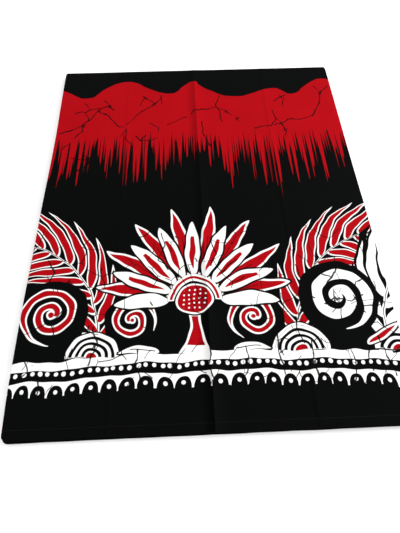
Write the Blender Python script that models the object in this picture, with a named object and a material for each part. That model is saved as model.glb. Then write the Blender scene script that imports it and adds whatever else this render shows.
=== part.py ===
"""A batik sarong, folded flat: a sewn cotton tube, folded in half sideways and then in half lengthwise.

The tube's lower end faces up at the front, and its waist half is folded behind. Metres, +Z up, +X to
the right and +Y towards the folded far edge. The origin is under the middle of the pack, on the surface.
"""
import math

import bpy

# Driving dimensions of the sewn tube
TUBE_ROUND = 1.840
TUBE_HEIGHT = 1.190
LAYERS = 8
PITCH = 0.00105
WALL = 0.0010
GAP = 0.0003
HEM_DEPTH = 0.012

# Sizes of the folded pack
WIDTH = TUBE_ROUND / 4
LENGTH = TUBE_HEIGHT / 2
HEIGHT = LAYERS * PITCH
MIDDLE = HEIGHT / 2
CORNER = 0.009
HEM_CORNER = 0.0095
HIDDEN_CORNER = 0.0155
SHARPEST_CORNER = 0.0005
CORNER_STEPS = 4
ROLL_STEPS = 4

# How far the two fold layers roll round at each edge of the top and bottom panels
ROLL = {
    "left": HEIGHT / 4,
    "right": WALL + 0.5 * GAP,
    "front": WALL + 0.5 * GAP,
    "back": MIDDLE - GAP / 2,
}
SIDES = ("front", "right", "back", "left")
DEEPEST_GROOVE = 0.97

# The waist half lies a little further forward than the front, more so at the left
SLIDE_LEFT = 0.0026
SLIDE_RIGHT = 0.0004
SLIDE_FADE = 0.120

# Pressed creases of the front: a raised crest's place, its height at the near and far edge, its slopes
CREASES = (
    {"across": "x", "at": -0.1150, "near": 0.0003, "far": 0.0001, "low_side": 0.006, "high_side": 0.010},
    {"across": "x", "at": 0.0000, "near": 0.0012, "far": 0.0006, "low_side": 0.011, "high_side": 0.024},
    {"across": "x", "at": 0.1150, "near": 0.0005, "far": 0.0002, "low_side": 0.006, "high_side": 0.014},
    {"across": "y", "at": 0.0025, "near": 0.0003, "far": 0.0003, "low_side": 0.012, "high_side": 0.010},
)

# Gentle bows of the long edges: where along the edge, over what length, and how far out
EDGE_BOWS = (
    {"side": -1, "at": 0.130, "reach": 0.150, "out": -0.0016},
    {"side": -1, "at": -0.160, "reach": 0.120, "out": 0.0008},
    {"side": 1, "at": -0.050, "reach": 0.160, "out": 0.0008},
    {"side": -1, "at": -0.310, "reach": 0.070, "out": -0.0022},
)

# Columns and rows of the panels' grids that the creases don't set already
PLAIN_COLUMNS = (-0.190, -0.155, -0.075, -0.035, 0.045, 0.080, 0.150, 0.190)
PLAIN_ROWS = (-0.235, -0.180, -0.120, -0.060, 0.060, 0.120, 0.180, 0.235)
EDGE_MARGIN = 0.016
CLOSEST_LINES = 0.003

# Dyed cotton as linear colours
BLACK_DYE = (0.006, 0.006, 0.006, 1.0)
RED_DYE = (0.450, 0.008, 0.012, 1.0)
COTTON_ROUGHNESS = 0.75


def clear_scene():
    for old in list(bpy.data.objects):
        bpy.data.objects.remove(old, do_unlink=True)


def smooth(low, high, value):
    """Rises smoothly from 0 at low to 1 at high."""
    share = min(1.0, max(0.0, (value - low) / (high - low)))
    return share * share * (3.0 - 2.0 * share)


def crest(crease, distance):
    """A pressed crest's height share at a signed distance from its line: sharp on top, soft at its feet."""
    reach = crease["high_side"] if distance > 0.0 else crease["low_side"]
    return max(0.0, 1.0 - abs(distance) / reach) ** 2


def relief(x, y):
    """How far the creases lift the top of the pack at a place."""
    lift = 0.0
    for crease in CREASES:
        distance = (x if crease["across"] == "x" else y) - crease["at"]
        share = (y / LENGTH) + 0.5
        height = crease["near"] + (crease["far"] - crease["near"]) * share
        lift += height * crest(crease, distance)
    return lift


def settle(x, y, z):
    """Moves a point of the ideal flat pack to where the cloth lies: slid layers, bowed edges, creases."""
    across = x / WIDTH + 0.5
    slide = SLIDE_LEFT + (SLIDE_RIGHT - SLIDE_LEFT) * across
    near = 1.0 - smooth(0.0, SLIDE_FADE, y + LENGTH / 2)
    low = 1.0 - smooth(0.8 * MIDDLE, 1.3 * MIDDLE, z)
    bow = 0.0
    for edge in EDGE_BOWS:
        far = abs(y - edge["at"]) / edge["reach"]
        if far < 1.0 and edge["side"] * x > 0.0:
            bow += edge["side"] * edge["out"] * math.cos(far * math.pi / 2) ** 2 * abs(x) / (WIDTH / 2)
    return (x + bow, y + SLIDE_LEFT - slide * near * low, z + relief(x, y) * z / HEIGHT)


def grid_columns(margin):
    """The columns of a panel: one on each crest and on its slopes, and plain ones between."""
    columns = set(PLAIN_COLUMNS)
    for crease in CREASES:
        if crease["across"] == "x":
            at = crease["at"]
            columns.update((at, at - crease["low_side"] / 2, at - crease["low_side"]))
            columns.update((at + crease["high_side"] / 2, at + crease["high_side"]))
    edge = WIDTH / 2 - margin
    return [-edge] + sorted(c for c in columns if abs(c) < edge - CLOSEST_LINES) + [edge]


def grid_rows(front, back):
    """The rows of a panel between two ends, with three on the crease at mid height."""
    rows = set(PLAIN_ROWS)
    for crease in CREASES:
        if crease["across"] == "y":
            at = crease["at"]
            rows.update((at, at - crease["low_side"], at + crease["high_side"]))
    return [front] + sorted(r for r in rows if front + CLOSEST_LINES < r < back - CLOSEST_LINES) + [back]


def ring(insets, heights, columns, rows, corner=CORNER):
    """One loop of points round the pack, counter-clockwise, at each side's own inset and height."""
    left = -WIDTH / 2 + insets["left"]
    right = WIDTH / 2 - insets["right"]
    front = -LENGTH / 2 + insets["front"]
    back = LENGTH / 2 - SLIDE_LEFT - insets["back"]
    stretches = {
        "front": [(x, front) for x in columns],
        "right": [(right, y) for y in rows],
        "back": [(x, back) for x in reversed(columns)],
        "left": [(left, y) for y in reversed(rows)],
    }
    corners = {
        "front": (right, front, -1, 1, -math.pi / 2),
        "right": (right, back, -1, -1, 0.0),
        "back": (left, back, 1, -1, math.pi / 2),
        "left": (left, front, 1, 1, math.pi),
    }
    points = []
    for number, side in enumerate(SIDES):
        following = SIDES[(number + 1) % len(SIDES)]
        points += [(x, y, heights[side]) for x, y in stretches[side]]
        x_corner, y_corner, x_sign, y_sign, start = corners[side]
        radius = max(SHARPEST_CORNER, corner - (insets[side] + insets[following]) / 2)
        for step in range(1, CORNER_STEPS):
            share = step / CORNER_STEPS
            angle = start + share * math.pi / 2
            turn = smooth(0.0, 1.0, share)
            x = x_corner + x_sign * radius + radius * math.cos(angle)
            y = y_corner + y_sign * radius + radius * math.sin(angle)
            points.append((x, y, heights[side] + (heights[following] - heights[side]) * turn))
    return points


def grid_edge(first, wide, deep):
    """The grid's edge points in a ring's order, each corner point repeated for the ring's corner steps."""
    near = [first + column for column in range(wide)]
    right = [first + row * wide + wide - 1 for row in range(deep)]
    far = [first + (deep - 1) * wide + column for column in reversed(range(wide))]
    left = [first + row * wide for row in reversed(range(deep))]
    edge = []
    for stretch in (near, right, far, left):
        edge += stretch + [stretch[-1]] * (CORNER_STEPS - 1)
    return edge


def end_faces(loop_start, around, first, wide, deep):
    """The faces that close a ring with a grid, seen from above."""
    faces = []
    for row in range(deep - 1):
        for column in range(wide - 1):
            corner = first + row * wide + column
            faces.append((corner, corner + 1, corner + wide + 1, corner + wide))
    edge = grid_edge(first, wide, deep)
    for step in range(around):
        after = (step + 1) % around
        outside = (loop_start + step, loop_start + after)
        inside = (edge[step],) if edge[step] == edge[after] else (edge[after], edge[step])
        faces.append(outside + inside)
    return faces


def body(rings, columns, rows):
    """A closed mesh through rings from the top one to the bottom one, with a grid in each end."""
    wide, deep, around = len(columns), len(rows), len(rings[0])
    points = [point for loop in rings for point in loop]
    faces = []
    for upper in range(0, (len(rings) - 1) * around, around):
        lower = upper + around
        for step in range(around):
            after = (step + 1) % around
            faces.append((upper + step, lower + step, lower + after, upper + after))
    for loop_start in (0, (len(rings) - 1) * around):
        first = len(points)
        height = points[loop_start][2]
        points += [(x, y, height) for y in rows for x in columns]
        end = end_faces(loop_start, around, first, wide, deep)
        faces += end if loop_start == 0 else [tuple(reversed(face)) for face in end]
    return [settle(*point) for point in points], faces


def dyed_cotton(name, colour):
    """Plain dyed cotton."""
    material = bpy.data.materials.new(name + "_cotton")
    material.use_nodes = True
    shader = material.node_tree.nodes["Principled BSDF"]
    shader.inputs["Base Color"].default_value = colour
    shader.inputs["Roughness"].default_value = COTTON_ROUGHNESS
    shader.inputs["Metallic"].default_value = 0.0
    return material


def add_piece(name, rings, columns, rows, colour):
    points, faces = body(rings, columns, rows)
    mesh = bpy.data.meshes.new(name)
    mesh.from_pydata(points, [], faces)
    mesh.materials.append(dyed_cotton(name, colour))
    mesh.shade_smooth()
    mesh.set_sharp_from_angle(angle=math.radians(40))
    piece = bpy.data.objects.new(name, mesh)
    bpy.context.scene.collection.objects.link(piece)
    return piece


def rolled_wall(face_height, upwards):
    """Rings of a panel whose edges roll over: its outer skin out to the rim, then its inner one back."""
    turn = 1.0 if upwards else -1.0
    rings = []
    for thickness in (0.0, WALL):
        skin = []
        for step in range(ROLL_STEPS + 1):
            angle = step / ROLL_STEPS * math.pi / 2
            insets = {side: ROLL[side] - (ROLL[side] - thickness) * math.sin(angle) for side in SIDES}
            drops = {side: thickness + (ROLL[side] - thickness) * (1.0 - math.cos(angle)) for side in SIDES}
            skin.append((insets, {side: face_height - turn * drops[side] for side in SIDES}))
        rings.append(skin)
    outer, inner = rings
    outwards = outer + inner[::-1]
    return outwards if upwards else outwards[::-1]


def make_panel(name, face_height, upwards, colour):
    columns = grid_columns(EDGE_MARGIN)
    rows = grid_rows(-LENGTH / 2 + EDGE_MARGIN, LENGTH / 2 - SLIDE_LEFT - EDGE_MARGIN)
    loops = [ring(insets, heights, columns, rows) for insets, heights in rolled_wall(face_height, upwards)]
    return add_piece(name, loops, columns, rows, colour)


def make_hem(name, low, high):
    """A turned hem strip: flat, with its edges eased."""
    ease = GAP / 2
    columns = grid_columns(EDGE_MARGIN)
    rows = [-LENGTH / 2 + 0.84 * HEM_DEPTH, -LENGTH / 2 + 0.90 * HEM_DEPTH]
    back = LENGTH - SLIDE_LEFT - HEM_DEPTH
    loops = []
    for height, inwards in ((high, 2 * ease), (high - ease, ease), (low + ease, ease), (low, 2 * ease)):
        insets = {"left": ROLL["left"] + inwards, "right": inwards, "front": inwards, "back": back + inwards}
        loops.append(ring(insets, dict.fromkeys(SIDES, height), columns, rows, HEM_CORNER))
    return add_piece(name, loops, columns, rows, BLACK_DYE)


def lobe(height, folds):
    """How far a stack of equal round folds draws in: none at a fold's middle, most between two."""
    fold = HEIGHT / folds
    place = (height % fold) / fold * 2.0 - 1.0
    return fold / 2 * (1.0 - math.sqrt(1.0 - min(DEEPEST_GROOVE, place * place)))


def under_roll(side, height):
    """How far the hidden layers keep in under the panels' rolled edge, where it covers them."""
    roll = ROLL[side]
    above_middle = abs(height - MIDDLE)
    centre = MIDDLE - roll
    if above_middle < centre - 0.9 * GAP:
        return 0.0
    radius = max(0.2 * GAP, roll - WALL - 1.1 * GAP)
    rise = min(0.98 * radius, max(0.0, above_middle - centre))
    return roll - math.sqrt(radius * radius - rise * rise)


def make_folded_layers(name, low, high):
    """The hidden layers as one solid: small folds at the right, large ones at the left, edges in front."""
    columns = grid_columns(EDGE_MARGIN)
    recess = HEM_DEPTH + 2.0 * GAP
    hem_low = high - WALL - GAP
    hem_high = low + WALL + GAP
    rows = grid_rows(-LENGTH / 2 + recess + EDGE_MARGIN, LENGTH / 2 - SLIDE_LEFT - EDGE_MARGIN)
    fold_line = 6 * PITCH
    cut_line = 5 * PITCH
    half = (
        high, high - 0.6 * GAP, fold_line + GAP / 2, fold_line, fold_line - GAP / 2, fold_line - 1.3 * GAP,
        hem_low, hem_low - GAP / 3, cut_line, cut_line - GAP, MIDDLE + GAP, MIDDLE + GAP / 2,
    )
    heights = list(half) + [MIDDLE] + [HEIGHT - height for height in reversed(half)]
    loops = []
    for height in heights:
        between_hems = hem_high < height < hem_low
        cap = 0.8 * GAP if height in (high, low) else 0.0
        insets = {
            "left": max(lobe(height, 2), under_roll("left", height)) + cap,
            "right": max(lobe(height, 4), cap),
            "front": (lobe(height, 8) if between_hems else recess) + cap,
            "back": max(WALL + 1.5 * GAP, under_roll("back", height)) + cap,
        }
        loops.append(ring(insets, dict.fromkeys(SIDES, height), columns, rows, HIDDEN_CORNER))
    return add_piece(name, loops, columns, rows, BLACK_DYE)


def main():
    clear_scene()
    low = WALL + 1.5 * GAP
    high = HEIGHT - low
    make_panel("front_panel", HEIGHT, True, RED_DYE)
    make_hem("front_hem", high - WALL, high)
    make_folded_layers("folded_layers", low, high)
    make_hem("waist_hem", low, low + WALL)
    make_panel("back_panel", 0.0, False, BLACK_DYE)


main()
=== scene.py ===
"""The looks of the folded batik sarong: cloth, dye, hems and stitches, with floor, light and camera."""

import math

import bmesh
import bpy
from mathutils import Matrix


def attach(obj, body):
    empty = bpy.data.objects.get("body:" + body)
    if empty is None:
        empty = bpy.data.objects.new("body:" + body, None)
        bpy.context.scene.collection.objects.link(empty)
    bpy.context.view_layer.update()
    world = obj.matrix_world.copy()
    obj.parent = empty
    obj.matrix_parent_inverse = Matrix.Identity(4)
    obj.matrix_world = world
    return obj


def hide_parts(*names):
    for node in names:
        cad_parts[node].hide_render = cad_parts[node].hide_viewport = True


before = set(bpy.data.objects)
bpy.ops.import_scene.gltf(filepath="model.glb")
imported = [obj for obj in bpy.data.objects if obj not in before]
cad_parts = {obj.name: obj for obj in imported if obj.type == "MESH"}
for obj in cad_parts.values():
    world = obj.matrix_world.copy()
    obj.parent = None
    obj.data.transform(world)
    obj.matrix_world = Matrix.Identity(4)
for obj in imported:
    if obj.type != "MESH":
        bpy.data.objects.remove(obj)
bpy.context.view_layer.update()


def table(fields, *rows):
    """The rows of a table, each a dictionary by the names of the fields."""
    return [dict(zip(fields.split(), row)) for row in rows]


# The folded pack, in metres, as its solids have it
WIDTH = 0.460
LENGTH = 0.595
HEIGHT = 0.0084
MIDDLE = HEIGHT / 2
SLIDE_LEFT = 0.0026
SLIDE_RIGHT = 0.0004
SLIDE_FADE = 0.120
WAVER_FADE = 0.030
WAVER_BY_DEPTH = 900.0
NEAR_END = -LENGTH / 2
FAR_END = LENGTH / 2 - SLIDE_LEFT

# Pressed creases of the front, and how far a crease drifts sideways towards the far edge
CREASES = table(
    "across at drift near far low_side high_side",
    ("x", -0.1150, -0.002, 0.0004, 0.0001, 0.006, 0.010),
    ("x", 0.0015, -0.0065, 0.0012, 0.0006, 0.0145, 0.024),
    ("x", 0.1150, -0.002, 0.0005, 0.0002, 0.006, 0.014),
    ("y", 0.0025, 0.0, 0.0003, 0.0003, 0.012, 0.010),
)
EDGE_BOWS = table(
    "side at reach out",
    (-1, 0.130, 0.150, -0.0016),
    (-1, -0.160, 0.120, 0.0008),
    (1, -0.050, 0.160, 0.0008),
    (-1, -0.310, 0.070, -0.0022),
)

# Cloth and hem, in metres
CLOTH = 0.00036
HEM_DEPTH = 0.012
HEM_THICK = 0.00055
HEM_STEP = 0.00018
NEAR_ROLL = 0.00042
TUCK = 0.012
STITCH_LINE = 0.0100
STITCH_PITCH = 0.0026
STITCH_INSET = 0.001
STITCH_STEPS = 180
STITCH_GROOVE = 0.00010
STITCH_GROOVE_HALF = 0.0016
FRONT_STITCH_SINK = 0.00002
WAIST_STITCH_SINK = 0.00017

# Depths of the outer faces of the four layers of a half, below its own panel
FACE_2 = 0.00206
FACE_3 = 0.00212
FACE_4 = 0.00415
LEFT_TURN = FACE_4 / 2
RIGHT_TURN = FACE_2 / 2
X_LEFT = -WIDTH / 2 + LEFT_TURN
X_RIGHT = WIDTH / 2 - RIGHT_TURN
LAYER_GAP = 0.0004
FAR_TURN_START = FAR_END - MIDDLE

# Distances between the columns and rows of the cloth's meshes, and the steps of their turns
FRONT_COLUMNS = 0.0030
BACK_COLUMNS = 0.0060
LAYER_COLUMNS = 0.0080
HEM_COLUMNS = 0.0060
TUCK_COLUMNS = 0.0030
PANEL_ROWS = 0.0040
LAYER_ROWS = 0.0080
HEM_ROWS = 0.0013
HEM_ROWS_END = 0.022
FINER_WITHIN = 0.014
FINER_SHARE = 0.45
FINER_COLUMNS = (0.010, -0.226, 0.226)
NEAR_STEPS = 4
TURN_STEPS = 10
HEM_TURN_STEPS = 6
LAYER_TURN_STEPS = 4
FAR_STEPS = 10
LAYER_FAR_STEPS = 16

# Rounded corners of the pack in plan: (side, end) and radius
CORNERS = {(-1, -1): 0.0056, (1, -1): 0.0080, (1, 1): 0.0085, (-1, 1): 0.0055}
CORNER_BLEND = 0.030

# The camera: place in metres, turns in degrees, and lens in millimetres
CAMERA_PLACE = (-0.01524, -0.31525, 0.44568)
CAMERA_TURN = (26.687, 0.075, -2.128)
CAMERA_LENS = 25.27

# Weave in millimetres
WARP_PITCH = 0.42
WEFT_PITCH = 0.45

# Dyes as linear colours
BLACK = (0.0020, 0.0022, 0.0022, 1.0)
WORN_BLACK = (0.0025, 0.0026, 0.0026, 1.0)
WHITE = (0.88, 0.875, 0.86, 1.0)
RED = (0.375, 0.0024, 0.0060, 1.0)
DEEP_RED = (0.330, 0.0020, 0.0052, 1.0)


def smooth(low, high, value):
    """Rises smoothly from 0 at low to 1 at high."""
    share = min(1.0, max(0.0, (value - low) / (high - low)))
    return share * share * (3.0 - 2.0 * share)


def relief(x, y):
    """How far the pressed creases lift the top of the pack at a place."""
    lift = 0.0
    share = y / LENGTH + 0.5
    for crease in CREASES:
        distance = (x if crease["across"] == "x" else y) - crease["at"] - crease["drift"] * share
        reach = crease["high_side"] if distance > 0.0 else crease["low_side"]
        height = crease["near"] + (crease["far"] - crease["near"]) * share
        lift += height * max(0.0, 1.0 - abs(distance) / reach) ** 2
    return lift


def ripple(x, y):
    """Soft low waves of cloth that was pressed flat once and handled since."""
    slow = math.sin(31.0 * x + 9.0 * y + 1.1) * math.sin(23.0 * y - 6.0 * x + 0.4)
    quick = math.sin(74.0 * x - 21.0 * y) * math.sin(57.0 * y + 13.0 * x + 2.0)
    return 0.00010 * slow + 0.00004 * quick


def settle(x, y, z):
    """Moves a point of the ideal flat pack to where the cloth lies: slid, bowed, creased and rippled."""
    across = x / WIDTH + 0.5
    slide = SLIDE_LEFT + (SLIDE_RIGHT - SLIDE_LEFT) * across
    near = 1.0 - smooth(0.0, SLIDE_FADE, y + LENGTH / 2)
    low = 1.0 - smooth(0.8 * MIDDLE, 1.3 * MIDDLE, z)
    bow = 0.0
    for edge in EDGE_BOWS:
        far = abs(y - edge["at"]) / edge["reach"]
        if far < 1.0 and edge["side"] * x > 0.0:
            bow += edge["side"] * edge["out"] * math.cos(far * math.pi / 2) ** 2 * abs(x) / (WIDTH / 2)
    lift = (relief(x, y) + ripple(x, y)) * z / HEIGHT
    return (x + bow, y + SLIDE_LEFT - slide * near * low, z + lift)


def corner_inset(x, y):
    """How far the pack's rounded corners pull a point in towards the middle, sideways."""
    side = 1 if x > 0.0 else -1
    end = 1 if y > 0.0 else -1
    radius = CORNERS[side, end]
    middle = (NEAR_END + FAR_END) / 2
    past = min(radius, max(0.0, abs(y - middle) - ((FAR_END - NEAR_END) / 2 - radius)))
    outer = smooth(WIDTH / 2 - CORNER_BLEND, WIDTH / 2 + 0.3 * CORNER_BLEND, abs(x)) / 0.86
    return side * (radius - math.sqrt(radius * radius - past * past)) * min(1.0, outer)


class Path:
    """A line across the folded layers: points (x, depth, inward x, inward depth, length along the cloth)."""

    def __init__(self, x, depth, inward, along=0.0):
        self.points = [(x, depth, 0.0, inward, along)]

    def run(self, columns):
        """Straight on over these x positions."""
        for x in columns:
            last_x, depth, _, inward, along = self.points[-1]
            self.points.append((x, depth, 0.0, inward, along + abs(x - last_x)))
        return self

    def turn(self, to_depth, side, steps=TURN_STEPS):
        """A half circle round to another depth, bulging out on a side."""
        x, depth, _, inward, along = self.points[-1]
        centre = (depth + to_depth) / 2
        radius = abs(to_depth - depth) / 2
        heading = 1.0 if depth < to_depth else -1.0
        hollow = 1.0 if inward == heading else -1.0
        for step in range(1, steps + 1):
            angle = math.pi * step / steps
            out, up = math.sin(angle), math.cos(angle)
            self.points.append((
                x + side * radius * out,
                centre - heading * radius * up,
                -side * out * hollow,
                heading * up * hollow,
                along + radius * angle,
            ))
        return self

    def centred(self, x, depth):
        """The same path with its lengths counted from the point nearest to a place."""
        origin = min(self.points, key=lambda p: abs(p[0] - x) + 50.0 * abs(p[1] - depth))[4]
        self.points = [p[:4] + (p[4] - origin,) for p in self.points]
        return self


def spaced(start, stop, pitch, refine=()):
    """Positions from start to stop about a pitch apart, and closer near each place in refine."""
    sign = 1.0 if stop > start else -1.0
    places = [start]
    while sign * (stop - places[-1]) > 1e-9:
        here = places[-1]
        near = any(abs(here - place) < FINER_WITHIN for place in refine)
        places.append(here + sign * (pitch * FINER_SHARE if near else pitch))
    scale = (stop - start) / (places[-1] - start)
    return [start + (place - start) * scale for place in places[1:]]


def near_rows():
    """The eased near edge: rows of (y, far turn angle, depth inwards, length from the edge)."""
    rows = []
    for step in range(NEAR_STEPS):
        angle = math.pi / 2 * step / NEAR_STEPS
        y = NEAR_END + NEAR_ROLL * (1 - math.cos(angle))
        rows.append((y, 0.0, NEAR_ROLL * (1 - math.sin(angle)), NEAR_ROLL * angle))
    return rows


def flat_rows(pitch):
    """Rows over the flat of the panel, closer at the hem and at the middle crease."""
    start = NEAR_END + NEAR_ROLL
    hem = NEAR_END + HEM_ROWS_END
    across = [crease["at"] for crease in CREASES if crease["across"] == "y"]
    places = [start] + spaced(start, hem, HEM_ROWS) + spaced(hem, FAR_TURN_START, pitch, across)
    return [(y, 0.0, 0.0, y - NEAR_END) for y in places]


def far_rows(end_angle, steps=FAR_STEPS):
    """Rows round the far fold."""
    start = FAR_TURN_START - NEAR_END
    return [
        (FAR_TURN_START, end_angle * step / steps, 0.0, start + MIDDLE * end_angle * step / steps)
        for step in range(1, steps + 1)
    ]


def hem_raise(y, angle):
    """The turned hem under the panel's near edge lifts it a little, and its stitches pull it down."""
    if abs(math.cos(angle)) < 0.999:
        return 0.0
    from_edge = y - NEAR_END
    step = HEM_STEP * (1.0 - smooth(HEM_DEPTH - 0.0015, HEM_DEPTH + 0.0025, from_edge))
    near_stitches = max(0.0, 1.0 - abs(from_edge - STITCH_LINE) / STITCH_GROOVE_HALF)
    return step - STITCH_GROOVE * near_stitches ** 2


def place(point, row, lower=False):
    """Where a path's point lies in the pack at a row."""
    x, depth, inward_x, inward_depth, _ = point
    y, angle, eased, _ = row
    x = x + inward_x * eased
    depth = depth + inward_depth * eased
    reach = MIDDLE - depth
    plan_y = y + MIDDLE * abs(math.sin(angle))
    y = y + reach * math.sin(angle)
    z = MIDDLE + reach * math.cos(angle)
    x = x - corner_inset(x, plan_y)
    if lower:
        z = HEIGHT - z
    return settle(x, y, z)


def edge_waver(x, layer):
    """How far a layer's near edge wanders from straight."""
    return 0.00022 * math.sin(38.0 * x + 2.1 * layer) + 0.00012 * math.sin(97.0 * x + 1.3 * layer)


def cloth_mesh(name, points, faces, lengths):
    """A mesh with each point's lengths along the cloth as a map in metres."""
    mesh = bpy.data.meshes.new(name)
    mesh.from_pydata(points, [], faces)
    flat_map = mesh.uv_layers.new(name="cloth_lengths")
    for loop in mesh.loops:
        flat_map.data[loop.index].uv = lengths[loop.vertex_index]
    return mesh


def grid_mesh(name, path, rows, lower=False, raised=False):
    """A cloth's outer face through a path's columns and the rows."""
    points = []
    for row in rows:
        for point in path:
            x, y, z = place(point, row, lower)
            if raised and point[1] < 0.0001 and row[2] == 0.0:
                z += hem_raise(row[0], row[1])
            if math.cos(row[1]) ** 2 > 0.99:
                fade = 1.0 - smooth(0.0, WAVER_FADE, row[0] - NEAR_END)
                y += fade * edge_waver(x, WAVER_BY_DEPTH * point[1])
            points.append((x, y, z))
    wide = len(path)
    faces = []
    for lower_row in range(len(rows) - 1):
        for column in range(wide - 1):
            first = lower_row * wide + column
            quad = (first, first + 1, first + wide + 1, first + wide)
            faces.append(tuple(reversed(quad)) if lower else quad)
    return cloth_mesh(name, points, faces, [(point[4], row[3]) for row in rows for point in path])


def linked(name, data):
    """A new object in the scene."""
    thing = bpy.data.objects.new(name, data)
    bpy.context.scene.collection.objects.link(thing)
    return thing


def shown(name, mesh, material):
    """A piece in the scene, with smooth faces and one material."""
    mesh.materials.clear()
    mesh.materials.append(material)
    mesh.polygons.foreach_set("use_smooth", [True] * len(mesh.polygons))
    return linked(name, mesh)


def applied(thing):
    """An object's mesh with its modifiers applied. The object itself goes."""
    evaluated = thing.evaluated_get(bpy.context.evaluated_depsgraph_get())
    mesh = bpy.data.meshes.new_from_object(evaluated)
    bpy.data.objects.remove(thing)
    return mesh


def face_outwards(mesh):
    """Turns a closed mesh's faces over where they point inwards."""
    shape = bmesh.new()
    shape.from_mesh(mesh)
    if shape.calc_volume(signed=True) < 0.0:
        mesh.flip_normals()
    shape.free()


def thickened(name, mesh, material):
    """A cloth of even thickness inwards from its outer face."""
    sheet = shown(name + "_face", mesh, material)
    wall = sheet.modifiers.new("cloth", "SOLIDIFY")
    wall.thickness = CLOTH
    wall.offset = -1.0
    wall.use_rim = True
    solid = applied(sheet)
    face_outwards(solid)
    solid.name = name
    return shown(name, solid, material)


def panel_path(pitch):
    """Across the panel: tucked in under its large left fold, over, and round the small right one."""
    refine = [crease["at"] for crease in CREASES if crease["across"] == "x"] + list(FINER_COLUMNS)
    path = Path(X_LEFT + TUCK, FACE_4, -1.0)
    path.run(spaced(X_LEFT + TUCK, X_LEFT, TUCK_COLUMNS))
    path.turn(0.0, -1)
    path.run(spaced(X_LEFT, 0.0, pitch, refine))
    path.run(spaced(0.0, X_RIGHT, pitch, refine))
    path.turn(FACE_2, 1)
    path.run(spaced(X_RIGHT, X_RIGHT - TUCK, TUCK_COLUMNS))
    return path.centred(0.0, 0.0).points


def layer_path(pitch):
    """Across the hidden layers: the second, folded back as the third, and round to the fourth."""
    start = X_RIGHT - TUCK - LAYER_GAP
    end = X_LEFT + TUCK + LAYER_GAP
    path = Path(start, FACE_2, -1.0)
    path.run(spaced(start, X_LEFT, pitch))
    path.turn(FACE_3, -1, LAYER_TURN_STEPS)
    path.run(spaced(X_LEFT, X_RIGHT, pitch))
    path.turn(FACE_4, 1)
    path.run(spaced(X_RIGHT, end, pitch))
    return path.centred(0.0, FACE_3).points


def hem_path(pitch):
    """All round the tube's edge: the four layers and the folds between them, closed."""
    path = Path(X_LEFT, 0.0, 1.0)
    path.run(spaced(X_LEFT, X_RIGHT, pitch))
    path.turn(FACE_2, 1)
    path.run(spaced(X_RIGHT, X_LEFT, pitch))
    path.turn(FACE_3, -1, HEM_TURN_STEPS)
    path.run(spaced(X_LEFT, X_RIGHT, pitch))
    path.turn(FACE_4, 1)
    path.run(spaced(X_RIGHT, X_LEFT, pitch))
    path.turn(0.0, -1)
    return path.points[:-1]


def hem_section():
    """The turned hem cut across: (distance from the edge, depth inwards), its near edge rounded."""
    low, high = NEAR_ROLL + 0.00001, NEAR_ROLL + HEM_THICK
    middle, radius = (low + high) / 2, (high - low) / 2
    section = []
    for step in range(HEM_TURN_STEPS + 1):
        angle = math.pi / 2 + math.pi * step / HEM_TURN_STEPS
        section.append((0.00005 + radius + radius * math.cos(angle), middle - radius * math.sin(angle)))
    bevel = HEM_DEPTH - 0.0002
    half_way = 0.5 * HEM_DEPTH
    return section + [(half_way, high), (bevel, high), (HEM_DEPTH, middle), (bevel, low), (half_way, low)]


def make_hem(name, lower, material):
    """The turned hem of one end of the tube, as one closed band through all four layers."""
    path = hem_path(HEM_COLUMNS)
    section = hem_section()
    points = []
    lengths = []
    for point in path:
        for from_edge, inwards in section:
            x, y, z = place(point, (NEAR_END + from_edge, 0.0, inwards, 0.0), lower)
            y += edge_waver(x, WAVER_BY_DEPTH * point[1])
            points.append((x, y, z))
            lengths.append((point[4], from_edge))
    around = len(section)
    faces = []
    for column in range(len(path)):
        after = (column + 1) % len(path)
        for step in range(around):
            following = (step + 1) % around
            faces.append((
                column * around + step, after * around + step,
                after * around + following, column * around + following,
            ))
    mesh = cloth_mesh(name, points, faces, lengths)
    face_outwards(mesh)
    return shown(name, mesh, material)


def arithmetic(operation, swapped=False):
    """A method for the arithmetic of measures, which adds a Math node."""
    def method(self, other):
        values = (other, self) if swapped else (self, other)
        return self.dyer.math(operation, *values)
    return method


class Measure:
    """A number that changes over the cloth: a node's output, whose arithmetic adds Math nodes."""

    def __init__(self, dyer, socket):
        self.dyer = dyer
        self.socket = socket

    def __neg__(self):
        return self * -1.0

    __add__ = __radd__ = arithmetic("ADD")
    __sub__ = arithmetic("SUBTRACT")
    __rsub__ = arithmetic("SUBTRACT", swapped=True)
    __mul__ = __rmul__ = arithmetic("MULTIPLY")
    __truediv__ = arithmetic("DIVIDE")
    __rtruediv__ = arithmetic("DIVIDE", swapped=True)
    __pow__ = arithmetic("POWER")


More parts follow.
